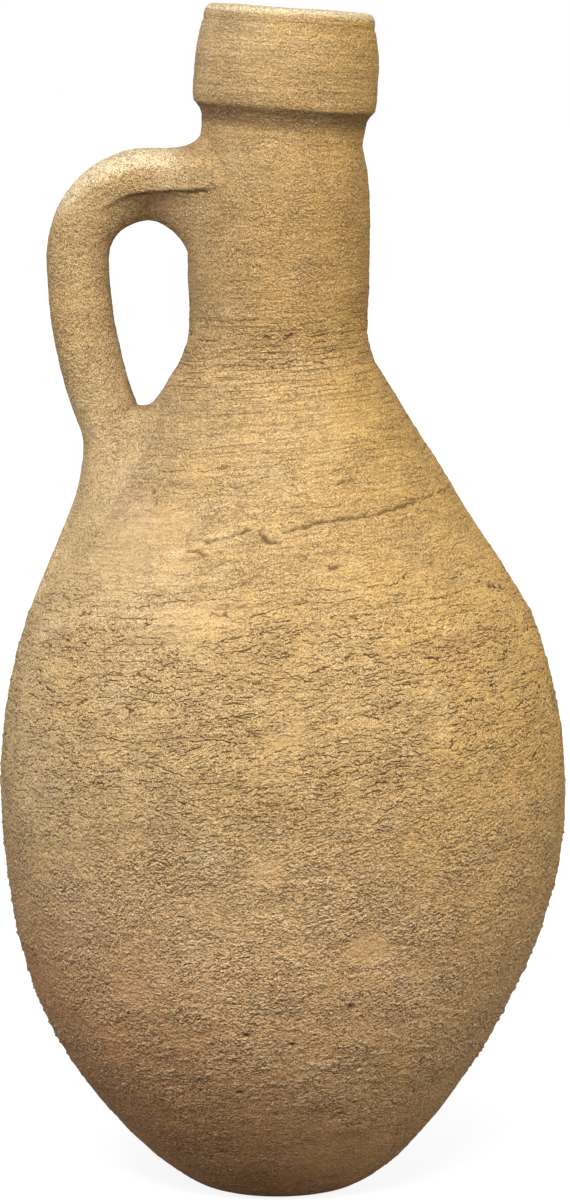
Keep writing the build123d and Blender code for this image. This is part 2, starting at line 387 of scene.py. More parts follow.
def stretched(tree, x, y, z, along, up):
    # place in a pattern that is drawn out along the turning
    return join(tree, times(tree, x, 1 / along), times(tree, y, 1 / along), times(tree, z, up))


def ledgeField(tree, place, rise, size):
    # scalloped ledges where the turning clay dragged and tore: a saw across the height, broken along its run
    x, y = split(tree, place)[:2]
    curl = times(tree, centred(tree, place, size["curlSize"], 1.0), size["curl"])
    run = stretched(tree, x, y, rise, size["reach"], handwork["wanderRise"] / size["spacing"])
    wander = times(tree, centred(tree, run, 1.0, 1.0), size["wander"])
    saw = calc(tree, "FRACT", total(tree, times(tree, total(tree, rise, curl), 1 / size["spacing"]), wander))
    run = stretched(tree, x, y, rise, size["breakLong"], 1 / size["breakSize"])
    breaks = ramp(tree, noise(tree, run, 1.0, 1.0), *size["breakShare"])
    line = times(tree, ramp(tree, saw, handwork["lineStart"], size["lineWidth"], 1.0, 0.0), breaks)
    return calc(tree, "SUBTRACT", saw, 0.5), line


def ledgeStrength(tree, place, rise):
    x, y = split(tree, place)[:2]
    patch = noise(tree, stretched(tree, x, y, rise, handwork["patchLong"], 1 / handwork["patchHigh"]), 1.0)
    zone = curve(tree, rise, handwork["ledgeZone"])
    return times(tree, ramp(tree, patch, *handwork["ledgePatch"]), zone)


def curled(tree, place, size):
    # wanders off sideways, so that straight edges come out curly
    ins = {"Vector": place, "Scale": 1 / size, "Detail": 1.0}
    return put(tree, "ShaderNodeTexNoise", ins).outputs["Color"]


def plateField(tree, place, rise, size):
    # crumbly plates, each at a height of its own: the height, the shade under a lip, the light on its top
    x, y = split(tree, place)[:2]
    heights = []
    for lift in (0.0, size["lip"]):
        spot = join(tree, x, y, times(tree, total(tree, rise, lift), 1 / size["flat"]))
        curl = vectors(tree, "SUBTRACT", curled(tree, spot, size["curlSize"]), (0.5, 0.5, 0.5))[0]
        spot = vectors(tree, "MULTIPLY_ADD", curl, (size["curl"],) * 3, spot)[0]
        heights.append(cells(tree, spot, size["width"])[1])
    step = calc(tree, "SUBTRACT", heights[1], heights[0])
    return heights[0], ramp(tree, step, *size["step"]), ramp(tree, step, -size["step"][0], -size["step"][1])


def dotField(tree, place, spacing, share, inner, outer):
    away, chance = cells(tree, place, spacing)
    there = calc(tree, "LESS_THAN", chance, share)
    return times(tree, ramp(tree, away, inner, outer, 1.0, 0.0), there)


def reliefTree():
    tree, given = newTree(
        "clayRelief",
        ("Tears", "Object", tearGuide),
        ("Pocks", "Object", pockGuide),
        ("Ledges", "Float", 1.0),
        ("Grain", "Float", 1.0),
        ("Swell", "Float", 1.0),
        ("Clay", "Material", None),
    )
    place = scaled(tree, put(tree, "GeometryNodeInputPosition").outputs[0], 1 / mm)
    rise = slantHeight(tree, place)
    x, y, z = split(tree, place)[:3]
    wiped = wipedField(tree, place)
    bare = calc(tree, "SUBTRACT", 1.0, times(tree, wiped, handwork["smoothing"]))
    saw, line = ledgeField(tree, place, rise, handwork["ledge"])
    strength = ledgeStrength(tree, place, rise)
    ledge = total(tree, saw, times(tree, line, -handwork["lineDepth"]))
    ledge = times(tree, ledge, strength, bare, given["Ledges"], handwork["ledgeDepth"])
    rings = stretched(tree, x, y, rise, handwork["ringLong"], 1 / handwork["ringSize"])
    rings = centred(tree, rings, 1.0, 1.0)
    swell = total(
        tree,
        times(tree, centred(tree, place, handwork["swellSize"], 1.0), handwork["swellDepth"]),
        times(tree, rings, handwork["ringDepth"], given["Ledges"]),
    )
    grain = total(
        tree,
        times(tree, centred(tree, place, *handwork["grain"]), handwork["grainDepth"]),
        times(tree, centred(tree, place, *handwork["pebble"]), handwork["pebbleDepth"]),
    )
    pit = times(tree, dotField(tree, place, *handwork["pit"]), bare)
    crumb = dotField(tree, place, *handwork["crumb"])
    crumb = times(tree, crumb, curve(tree, z, handwork["crumbZone"]), bare)

    def nearTo(source, target, width, ragged):
        lines = put(tree, "GeometryNodeObjectInfo", {"Object": source}).outputs["Geometry"]
        ask = put(tree, "GeometryNodeProximity", {0: lines}, target_element=target)
        away = times(tree, ask.outputs["Distance"], 1 / mm)
        small, large = handwork["raggedSizes"]
        away = total(tree, away, times(tree, centred(tree, place, small, 2.0), ragged),
                     times(tree, centred(tree, place, large, 1.0), ragged))
        return ramp(tree, away, handwork["core"] * width, width, 1.0, 0.0)

    tear = nearTo(given["Tears"], "EDGES", handwork["tearWidth"], handwork["tearRagged"])
    pock = nearTo(given["Pocks"], "POINTS", handwork["pockWidth"], handwork["pockRagged"])
    tear = times(tree, tear, ramp(tree, z, *handwork["tearZone"]))
    relief = total(
        tree,
        times(tree, swell, given["Swell"]),
        ledge,
        times(tree, grain, bare, given["Grain"]),
        times(tree, pit, -handwork["pitDepth"]),
        times(tree, crumb, handwork["crumbDepth"]),
        times(tree, tear, -handwork["tearDepth"]),
        times(tree, pock, -handwork["pockDepth"]),
    )
    push = times(tree, relief, attribute(tree, "skin"), mm)
    shape = given["Geometry"]
    for name, field in (("groove", tear), ("pit", calc(tree, "MAXIMUM", pit, pock)),
                        ("crumb", crumb), ("wiped", wiped), ("thrown", given["Ledges"])):
        shape = keep(tree, shape, name, times(tree, field, attribute(tree, "skin")))
    offset = scaled(tree, attribute(tree, "outward", "FLOAT_VECTOR"), push)
    moved = put(tree, "GeometryNodeSetPosition", {"Geometry": shape, "Offset": offset})
    smooth = put(tree, "GeometryNodeSetShadeSmooth", {"Geometry": moved.outputs[0], "Shade Smooth": True})
    edge = calc(tree, "GREATER_THAN", attribute(tree, "crease"), 0.99)      # both its ends are on a crease
    ins = {"Geometry": smooth.outputs[0], "Selection": edge, "Shade Smooth": False}
    sharp = put(tree, "GeometryNodeSetShadeSmooth", ins, domain="EDGE")
    return finishTree(tree, sharp.outputs[0], given["Clay"])


def wheelTree():
    # turns a closed half-section into a body: each row of a grid is one point of the section
    tree, given = newTree("wheelThrown", ("Columns", "Int", wall["columns"]), ("Clay", "Material", None))
    section = given["Geometry"]
    size = put(tree, "GeometryNodeAttributeDomainSize", {"Geometry": section}, component="MESH")
    rows = size.outputs["Point Count"]
    across = calc(tree, "ADD", given["Columns"], 1.0)
    ins = {"Size X": 1.0, "Size Y": 1.0, "Vertices X": across, "Vertices Y": calc(tree, "ADD", rows, 1.0)}
    grid = put(tree, "GeometryNodeMeshGrid", ins).outputs["Mesh"]
    u, v = split(tree, put(tree, "GeometryNodeInputPosition").outputs[0])[:2]
    u = calc(tree, "ADD", u, 0.5)
    row = calc(tree, "ROUND", times(tree, calc(tree, "ADD", v, 0.5), rows))
    last = calc(tree, "GREATER_THAN", row, calc(tree, "SUBTRACT", rows, 0.5))
    row = calc(tree, "SUBTRACT", row, times(tree, last, rows))

    def sample(value, kind="FLOAT_VECTOR"):
        ins = {"Geometry": section, "Value": value, "Index": row}
        return put(tree, "GeometryNodeSampleIndex", ins, data_type=kind, domain="POINT").outputs[0]

    spot = split(tree, sample(put(tree, "GeometryNodeInputPosition").outputs[0]))
    radius, height = spot["X"], spot["Z"]
    outR, skin, outZ = split(tree, sample(attribute(tree, "facing", "FLOAT_VECTOR")))[:3]
    drift, tilt, crease = split(tree, sample(attribute(tree, "stance", "FLOAT_VECTOR")))[:3]
    along = calc(tree, "ADD", sample(attribute(tree, "along"), "FLOAT"), last)
    turn = calc(tree, "MULTIPLY_ADD", u, 2 * math.pi, math.pi / 2)      # the seam is at the back
    cosine = calc(tree, "COSINE", turn)
    sine = calc(tree, "SINE", turn)
    reach = times(tree, radius, cosine)
    place = join(tree, total(tree, reach, drift), times(tree, radius, sine),
                 calc(tree, "SUBTRACT", height, times(tree, reach, tilt)))
    shape = keep(tree, grid, "OFBake", join(tree, u, along, 0.0), "FLOAT2", "CORNER")
    outward = join(tree, times(tree, outR, cosine), times(tree, outR, sine), outZ)
    shape = keep(tree, shape, "outward", outward, "FLOAT_VECTOR")
    shape = keep(tree, shape, "skin", skin)
    shape = keep(tree, shape, "crease", crease)
    shape = put(tree, "GeometryNodeSetPosition", {"Geometry": shape, "Position": place}).outputs[0]
    shape = put(tree, "GeometryNodeMergeByDistance", {"Geometry": shape, "Distance": 1e-6}).outputs[0]
    return finishTree(tree, shape, given["Clay"])


# Fired clay: buff and ochre in broad clouds, fine sand, pits and torn edges darkened with painted shade,
# painted light and shade on the sides, tops and plates, darker and browner towards the foot

clay = {
    "buff": (0.60, 0.385, 0.16, 1),
    "pale": (0.72, 0.53, 0.28, 1),
    "pink": (0.57, 0.33, 0.185, 1),
    "umber": (0.43, 0.215, 0.09, 1),
    # hollow: the colour of dark marks and of the painted shade in hollows, under lips and under the collar
    "hollow": (0.095, 0.047, 0.017, 1),
    # crumb: the colour of pale crumbs and of the painted highlights on crumbs and plate tops
    "crumb": (0.95, 0.75, 0.48, 1),
    # partly dust, partly painted light: the colour that upward faces of the arm and lip are made paler with
    "topLightAndDust": (0.95, 0.76, 0.47, 1),
    "paintedCoolLight": (1.0, 1.08, 1.28, 1),       # painted light colour: the side by the handle gets the tint of a cooler light, the other side that of a warmer one
    "paintedWarmLight": (1.07, 1.01, 0.77, 1),
    # sets of four, here and below: range of a noise, and what it becomes
    "roughness": (0.3, 0.7, 0.86, 0.97),
    "specular": 0.2,
    "grit": 0.75,           # size of the sand, millimetres
    "gritFlat": 0.95,       # its height against its width
    "gritTone": (0.2, 0.8, 0.42, 1.58),
    "gritLump": (0.9, 0.5, 0.25),           # height of a grain, how much grains differ, and the least one
    "gritFine": 0.8,        # size of the finer sand against it
    "fineShare": 0.5,
    "speck": (2.0, 0.36, 0.08, 0.3),        # dark specks: spacing, share, inner and outer edge
    "bump": 1.0,            # how far the sand stands up, millimetres
    "ledgeBump": 0.6,
    "darkBump": 0.5,        # how deep the dark places lie
    "smoothing": 0.85,      # how much of the roughness a full wipe takes away
    "roughNoise": (22.0, 2.0),              # size and detail of the rougher places
    "roughPatch": (0.33, 0.6, 0.75, 1.0),
    # how dark each kind of mark is painted; in lines, drag lines, tears, folds and pits this is painted
    # shade in the hollow
    "darkness": {"line": 1.0, "drag": 0.8, "speck": 0.9, "groove": 0.8, "pit": 0.8},
    "shift": (310, 170, 90),                # sets a second set of clouds apart from the first
    # broad clouds: colour, whether of the second set, size, detail, roughness, and the range of the mix
    "clouds": [("pink", True, 60.0, 3.0, 0.5, (0.56, 0.75, 0.0, 0.5)),
               ("pale", False, 15.0, 4.0, 0.6, (0.5, 0.75, 0.0, 0.45)),
               ("umber", True, 22.0, 4.0, 0.6, (0.52, 0.78, 0.0, 0.22))],
    "lightSideNoise": (70.0, 1.6),               # size and strength of the noise that breaks up the border between the painted cool and warm light
    "blush": (90.0, 230.0, 0.5, 0.0),       # the low body is pinker: heights, and share at each
    "umberLow": (0.0, 120.0, 0.9, 0.0),         # and it is darker and browner towards the foot
    "umberLowLean": 0.75,                       # further up on the side by the handle
    "smudge": {"flat": 2.6, "noise": (24.0, 3.0, 0.6), "tone": (0.3, 0.7, 0.93, 1.07)},
    # dust and painted top light: how dense, where on the arm, how far above the throat, and on faces that
    # look up this far
    "topLightAndDustPlaces": {"share": 0.9, "arm": (-44.0, -64.0), "armHeight": (470.0, 500.0), "lip": (57.0, 62.0),
              "up": (0.1, 0.7)},
    # painted shade under the collar's edge: how dense, heights above the throat, and distance from the
    # middle
    "collarShade": {"share": 0.66, "start": (1.0, 7.0), "end": (14.6, 12.6), "out": (34.0, 38.0)},
    # plates of clay: width, height against width, lip, how curly, how deep, how dark the painted shade under
    # the lip and how light the painted highlight on its top, and how strong from the foot (0) to the lip (1)
    "plate": {"width": 2.7, "flat": 0.5, "lip": 0.58, "curlSize": 1.5, "curl": 2.0, "step": (0.34, 0.5),
              "depth": 0.6, "shade": 1.0, "gleam": 0.15,
              "zone": [(0.0, 0.15), (0.15, 0.2), (0.25, 0.45), (0.33, 0.9), (0.4, 1.0), (0.47, 1.0),
                       (0.52, 0.75), (0.57, 0.5), (0.63, 0.4), (0.7, 0.4), (0.8, 0.35), (1.0, 0.3)]},
    "crust": {"width": 1.7, "flat": 1.0, "lip": 0.5, "curlSize": 1.4, "curl": 2.0, "step": (0.3, 0.5),
              "depth": 1.6, "shade": 1.0, "gleam": 1.0, "patch": (0.4, 0.58, 0.4, 1.08),
              "zone": [(0.0, 0.5), (0.08, 0.7), (0.13, 1.0), (0.27, 1.0), (0.35, 0.4), (0.45, 0.0),
                       (1.0, 0.0)]},
    "crumble": {"width": 1.2, "flat": 0.9, "lip": 0.5, "curlSize": 1.0, "curl": 0.9, "step": (0.25, 0.5),
                "depth": 0.6, "shade": 0.9, "gleam": 0.4,
                "zone": [(0.0, 0.8), (0.1, 0.9), (0.15, 1.0), (0.28, 1.0), (0.38, 0.6), (0.5, 0.5),
                         (0.6, 0.55), (0.75, 0.6), (1.0, 0.6)]},
    "patchNoise": (36.0, 2.0),              # size and detail of the places where crumbs gather low down
    "patchFlat": 1.6,
    # crumbs of clay on the lower body; dots: spacing, share of places that have one, inner and outer edge
    "ridge": {"dots": (1.6, 0.45, 0.0, 0.5), "flat": 0.75, "curlSize": 2.2, "curl": 1.6, "depth": 1.5,
              "gleam": 0.5},
    # streaks left by the turning: length, height, tone, and how strong from the foot (0) to the lip (1)
    "streak": {"long": 45.0, "fine": 1.0, "tone": (0.3, 0.7, 0.78, 1.19),
               "zone": [(0.0, 0.1), (0.3, 0.2), (0.5, 0.4), (0.65, 0.6), (0.72, 0.8), (0.76, 0.5),
                        (0.88, 0.5), (0.93, 1.0), (1.0, 1.0)]},
    # how light the clay is from the foot (0) to the lip (1)
    "toneZone": [(0.0, 1.01), (0.1, 1.1), (0.2, 1.27), (0.3, 1.15), (0.45, 1.1), (0.6, 1.08), (0.7, 1.01),
                 (0.75, 0.93), (0.86, 0.92), (0.9, 0.93), (1.0, 0.97)],
    # painted light: how much paler the sides are made than the front, from the foot (0) to the lip (1)
    "sideLightZone": [(0.0, 0.0), (0.2, 0.0), (0.3, 0.08), (0.4, 0.2), (0.5, 0.2), (0.58, 0.0), (1.0, 0.0)],
    # a yellower stain, and how strong it is from the foot (0) to the lip (1)
    "ochre": (1.0, 0.95, 0.86, 1),
    "ochreZone": [(0.0, 0.9), (0.1, 0.7), (0.2, 0.4), (0.35, 0.1), (0.62, 0.0), (0.7, 0.3), (0.75, 1.0),
                  (0.88, 1.0), (0.93, 0.2), (1.0, 0.0)],
    # how rough it is from the foot (0) to the lip (1)
    "roughZone": [(0.0, 0.9), (0.09, 1.0), (0.42, 1.0), (0.5, 0.95), (0.6, 0.9), (0.72, 0.95), (0.88, 0.88),
                  (0.94, 0.82), (1.0, 0.82)],
}


def tint(tree, share, under, over, mode="MIX"):
    node = put(tree, "ShaderNodeMix", {0: share, 6: under, 7: over}, data_type="RGBA", blend_type=mode)
    return node.outputs[2]


def stained(tree, share, colour, tone):
    return tint(tree, share, colour, tint(tree, 1.0, colour, tone, "MULTIPLY"))


def fromMiddle(tree, x, y):
    return calc(tree, "SQRT", total(tree, times(tree, x, x), times(tree, y, y), 1.0))


def broadColour(tree, place, shifted, rise):
    # clouds of colour, painted cool light by the handle and warm light on the other side, pinker low down,
    # darker and browner towards the foot, and the sides painted paler
    x, y, z = split(tree, place)[:3]
    side = calc(tree, "DIVIDE", x, fromMiddle(tree, x, y))
    size, strength = clay["lightSideNoise"]
    cloud = total(tree, side, times(tree, centred(tree, place, size, 3.0), strength))
    colour = clay["buff"]
    for name, apart, size, detail, harsh, mix in clay["clouds"]:
        share = ramp(tree, noise(tree, shifted if apart else place, size, detail, harsh), *mix)
        colour = tint(tree, share, colour, clay[name])
    # painted light colour: cooler light on the side by the handle, warmer light on the other side
    colour = stained(tree, ramp(tree, cloud, 0.0, -1.0), colour, clay["paintedCoolLight"])
    colour = stained(tree, ramp(tree, cloud, 0.0, 1.0), colour, clay["paintedWarmLight"])
    colour = tint(tree, ramp(tree, z, *clay["blush"]), colour, clay["pink"])
    # darker and browner towards the foot, higher up on the side by the handle
    umberLowHeight = total(tree, z, times(tree, x, clay["umberLowLean"]))
    colour = tint(tree, ramp(tree, umberLowHeight, *clay["umberLow"]), colour, clay["umber"])
    colour = stained(tree, curve(tree, z, clay["ochreZone"]), colour, clay["ochre"])
    # painted light: the sides, as seen from the front, are made paler
    paintedSideLight = total(tree, 1.0, times(tree, side, side, curve(tree, z, clay["sideLightZone"])))
    smudge = clay["smudge"]
    smear = noise(tree, join(tree, x, y, times(tree, rise, smudge["flat"])), *smudge["noise"])
    smear = ramp(tree, smear, *smudge["tone"])
    tone = times(tree, curve(tree, z, clay["toneZone"]), paintedSideLight, smear)
    return tint(tree, 1.0, colour, tone, "MULTIPLY")


def withDustAndPaintedLight(tree, place, colour):
    # dust and painted light on the upward faces of the arm's back and the lip, and painted shade under the
    # collar's edge
    x, y, z = split(tree, place)[:3]
    up = split(tree, put(tree, "ShaderNodeNewGeometry").outputs["Normal"])[2]
    fromThroat = vectors(tree, "SUBTRACT", place, throat / mm)[0]
    along = vectors(tree, "DOT_PRODUCT", fromThroat, mouthAxis)["Value"]
    topLightAndDustPlaces = clay["topLightAndDustPlaces"]
    armBack = times(tree, ramp(tree, x, *topLightAndDustPlaces["arm"]), ramp(tree, z, *topLightAndDustPlaces["armHeight"]))
    share = calc(tree, "MAXIMUM", armBack, ramp(tree, along, *topLightAndDustPlaces["lip"]))
    # partly dust, partly painted light: faces that look up are made paler
    share = times(tree, share, ramp(tree, up, *topLightAndDustPlaces["up"]), topLightAndDustPlaces["share"])
    colour = tint(tree, share, colour, clay["topLightAndDust"])
    # painted shade: a band under the collar's edge is darkened towards the hollow colour
    collarShade = clay["collarShade"]
    under = times(tree, ramp(tree, along, *collarShade["start"]), ramp(tree, along, *collarShade["end"]),
                  ramp(tree, fromMiddle(tree, x, y), *collarShade["out"]))
    return tint(tree, times(tree, under, collarShade["share"]), colour, clay["hollow"])


def makeClay():
    material = bpy.data.materials.new("coarseClay")
    material.use_nodes = True
    tree = material.node_tree
    shader = tree.nodes["Principled BSDF"]
    place = scaled(tree, put(tree, "ShaderNodeTexCoord").outputs["Object"], 1 / mm)
    x, y, z = split(tree, place)[:3]
    rise = slantHeight(tree, place)
    laid = join(tree, x, y, times(tree, rise, 1 / clay["gritFlat"]))
    shifted = vectors(tree, "ADD", place, clay["shift"])[0]

    def mark(name):
        return put(tree, "ShaderNodeAttribute", attribute_name=name).outputs["Fac"]

    colour = withDustAndPaintedLight(tree, place, broadColour(tree, place, shifted, rise))

    # sand and the streaks of the turning
    bare = calc(tree, "SUBTRACT", 1.0, times(tree, mark("wiped"), clay["smoothing"]))
    patch = ramp(tree, noise(tree, shifted, *clay["roughNoise"]), *clay["roughPatch"])
    rough = times(tree, patch, bare, curve(tree, z, clay["roughZone"]))
    away, chance = cells(tree, laid, clay["grit"])
    fine = noise(tree, laid, clay["gritFine"] * clay["grit"], 1.0)
    top, differ, least = clay["gritLump"]
    lump = times(tree, calc(tree, "SUBTRACT", top, away), calc(tree, "MULTIPLY_ADD", chance, differ, least))
    grain = total(tree, times(tree, fine, clay["fineShare"]), lump)
    colour = stained(tree, rough, colour, ramp(tree, grain, *clay["gritTone"]))
    streak = clay["streak"]
    run = stretched(tree, x, y, rise, streak["long"], 1 / streak["fine"])
    tone = ramp(tree, noise(tree, run, 1.0, 2.0), *streak["tone"])
    here = times(tree, curve(tree, z, streak["zone"]), mark("thrown"))
    colour = stained(tree, here, colour, tone)

    # drag lines, specks and crumbs: level is their height; light is pale crumbs and painted highlights, dark
    # is dark marks and painted shade, and both are what they do to the colour
    saw, line = ledgeField(tree, place, rise, handwork["ledge"])
    strength = times(tree, ledgeStrength(tree, place, rise), mark("thrown"), bare)
    drag = ledgeField(tree, place, rise, handwork["drag"])[1]
    drag = times(tree, drag, curve(tree, z, handwork["dragZone"]), mark("thrown"), bare)
    speck = times(tree, dotField(tree, laid, *clay["speck"]), rough)
    level = total(tree, times(tree, grain, rough), times(tree, saw, strength, clay["ledgeBump"]))
    gathered = join(tree, x, y, times(tree, rise, clay["patchFlat"]))
    gathered = ramp(tree, noise(tree, gathered, *clay["patchNoise"]), *clay["crust"]["patch"])
    ridge = clay["ridge"]
    curl = curled(tree, place, ridge["curlSize"])
    run = join(tree, times(tree, x, ridge["flat"]), times(tree, y, ridge["flat"]), rise)
    run = vectors(tree, "MULTIPLY_ADD", curl, (ridge["curl"],) * 3, run)[0]
    here = curve(tree, z, handwork["crumbZone"])
    crumb = times(tree, dotField(tree, run, *ridge["dots"]), here, bare, gathered, mark("thrown"))
    level = total(tree, level, times(tree, crumb, ridge["depth"]))
    # the crumbs are painted pale, partly as a painted highlight
    light = times(tree, calc(tree, "MAXIMUM", crumb, mark("crumb")), ridge["gleam"])
    marks = {"line": times(tree, line, strength), "drag": drag, "speck": speck,
             "groove": mark("groove"), "pit": mark("pit")}
    dark = 0.0
    for name, field in marks.items():
        dark = calc(tree, "MAXIMUM", dark, times(tree, field, clay["darkness"][name]))

    # plates of three sizes, with painted shade under their lips and painted highlights on their tops
    for size in (clay["plate"], clay["crust"], clay["crumble"]):
        height, shade, gleam = plateField(tree, place, rise, size)
        here = times(tree, curve(tree, z, size["zone"]), rough)
        if "patch" in size:
            here = times(tree, here, gathered)
        level = total(tree, level, times(tree, height, here, size["depth"]))
        light = calc(tree, "MAXIMUM", light, times(tree, gleam, here, size["gleam"]))
        dark = calc(tree, "MAXIMUM", dark, times(tree, shade, here, size["shade"]))
    # painted highlights and pale crumbs, then dark marks and painted shade
    colour = tint(tree, light, colour, clay["crumb"])
    colour = tint(tree, dark, colour, clay["hollow"])
    tree.links.new(colour, shader.inputs["Base Color"])
    tree.links.new(ramp(tree, grain, *clay["roughness"]), shader.inputs["Roughness"])
    shader.inputs["Specular IOR Level"].default_value = clay["specular"]
    level = total(tree, level, times(tree, dark, -clay["darkBump"]))
    ins = {"Height": level, "Strength": 1.0, "Distance": clay["bump"] * mm}
    bump = put(tree, "ShaderNodeBump", ins)
    tree.links.new(bump.outputs[0], shader.inputs["Normal"])
    return material


coarseClay = makeClay()
thrown = wheelTree()
relief = reliefTree()
print("trees and clay made")


def bake(piece):
    # turns what the trees made into a plain mesh
    graph = bpy.context.evaluated_depsgraph_get()
    made = piece.evaluated_get(graph)
    done = bpy.data.meshes.new_from_object(made, preserve_all_data_layers=True, depsgraph=graph)
    old = piece.data
    piece.modifiers.clear()
    piece.data = done
    bpy.data.meshes.remove(old)
    done.name = piece.name
    for name in ("outward", "skin", "crease"):
        if name in done.attributes:
            done.attributes.remove(done.attributes[name])
    return piece


def workClay(piece, **strengths):
    modifier = piece.modifiers.new("clayRelief", "NODES")
    modifier.node_group = relief
    setInputs(modifier, **{"Clay": coarseClay, "Tears": tearGuide, "Pocks": pockGuide, **strengths})


def store(mesh, name, kind, values):
    layer = mesh.attributes.new(name, kind, "POINT")
    field = "vector" if kind == "FLOAT_VECTOR" else "value"
    layer.data.foreach_set(field, np.asarray(values, np.float32).ravel())


def turned(name, section):
    # section: rows of radius, height, outR, outZ, skin, drift, tilt, crease, weight in the map
    section = np.array(section)
    count = len(section)
    places = np.column_stack([section[:, 0], np.zeros(count), section[:, 1]])
    piece = newPiece(name, places.tolist(), [(i, (i + 1) % count) for i in range(count)])
    store(piece.data, "facing", "FLOAT_VECTOR", section[:, [2, 4, 3]])
    store(piece.data, "stance", "FLOAT_VECTOR", section[:, [5, 6, 7]])
    weight = section[:, 8]
    store(piece.data, "along", "FLOAT", np.concatenate([[0], np.cumsum(weight)[:-1]]) / weight.sum())
    modifier = piece.modifiers.new("wheelThrown", "NODES")
    modifier.node_group = thrown
    setInputs(modifier, Columns=wall["columns"], Clay=coarseClay)
    workClay(piece)
    return bake(piece)


def lengthAlong(line):
    return np.concatenate([[0], np.cumsum(np.hypot(*np.diff(line, axis=0).T))])


def outsideRows(low, high, closer=1.0):
    heights = np.linspace(low, high, wall["samples"])
    length = lengthAlong(np.column_stack([heights, outlineAt(heights)]))
    count = max(2, round(length[-1] / (wall["rowStep"] * closer * mm)))
    heights = np.interp(np.linspace(0, length[-1], count + 1), length, heights)
    slopes = np.interp(heights, skinHeights, skinSlopes)
    long = np.hypot(1, slopes)
    return list(zip(outlineAt(heights), heights, 1 / long, -slopes / long))


def between(start, end, count):
    return [tuple(np.array(start) + (np.array(end) - np.array(start)) * i / count) for i in range(1, count)]


def innerRows(node, high, low):
    count = max(2, round((high - low) / (wall["innerStep"] * mm)))
    rows = []
    clear = wall["innerClear"] * mm
    for height in np.linspace(high - clear, low + clear, count + 1):
        radius = skinRadius(node, float(height), outside=False)
        if radius:
            rows.append((radius, float(height)))
    return rows


def hidden(rows):
    return [(r, z, 1, 0, 0, driftAt(z), 0, 0, wall["mapShare"]["hidden"]) for r, z in rows]


def course(node, above, below):
    first = max(jointOut[node], wall["firstRow"] * mm)
    rows = outsideRows(first, jointOut[above], wall["closer"].get(node, 1.0))
    ends = (rows[0], rows[-1])
    inner = innerRows(node, jointIn[node], jointIn[below] if below else wall["floor"] * mm)
    share = wall["mapShare"]
    section = []
    if not below:        # the flat foot, from the middle out
        edge = rows[0][0]
        for t in np.linspace(0, wall["footReach"], wall["footRows"]):
            section.append((edge * t, 0.0, 0, -1, 0, driftAt(0), 0, 0, share["foot"]))
    for i, (r, z, outR, outZ) in enumerate(rows):
        skin = min(1.0, max(0.0, z / (wall["easing"] * mm)))
        crease = 1.0 if (i == len(rows) - 1 or (i == 0 and below)) else 0.0
        section.append((r, z, outR, outZ, skin, driftAt(z), 0, crease, share["skin"]))
    section += hidden(between(ends[1][:2], inner[0], wall["jointRows"]) + inner)
    if below:
        section += hidden(between(inner[-1], ends[0][:2], wall["jointRows"]))
    else:        # the floor inside, to the middle
        section += hidden([(inner[-1][0] * t, inner[-1][1]) for t in (0.75, 0.5, 0.25, 0.0)])
    return turned(node, section)


pieces = {}
for node, above, below in zip(wallNodes[:4], wallNodes[1:], [None] + wallNodes[:3]):
    pieces[node] = course(node, above, below)
    print("thrown:", node, sum(len(p.vertices) - 2 for p in pieces[node].data.polygons), "triangles")


# Neck: upright from the shoulder, then leaning with the mouth, with a spigot inside the collar

neckShape = {
    "leanFrom": 500.0,
    # height, and how far the throat stands out there
    "fuller": [(486, 0.0), (504, 1.2), (515, 1.9), (521, 1.6), (526, 1.0), (530, 0.5)],
    "undercut": 5.6,        # height of the hollow curve under the collar's edge
    "undercutOut": 0.6,     # how far it comes out to meet the collar
    "calmer": 0.25,         # share of the relief that is lost there
    "spigot": 45.0,
    "readAt": 20.0,         # rise above the throat where the spigot and its bore are measured
    "boreSpan": (0.8, 0.05),        # rows of the leaning bore, from and to these shares of the spigot
    "boreRows": 14,
    "boreFrom": 2.0,        # the leaning bore goes over into the upright one this far below the throat
}


def leanShare(height):
    t = np.clip((height - neckShape["leanFrom"] * mm) / (throat.z - neckShape["leanFrom"] * mm), 0, 1)
    return t * t * (3 - 2 * t)


def mouthRadius(node, rise, outside=True):
    return castAcross(node, throat + mouthAxis * rise, outside)


def leaning(radius, rise, outR, outZ, skin, crease=0.0, weight=1.0):
    height = throat.z + rise * mouthAxis.z
    drift = rise * mouthAxis.x + driftAt(height)
    return (radius, height, outR, outZ, skin, drift, mouthAxis.x, crease, weight)


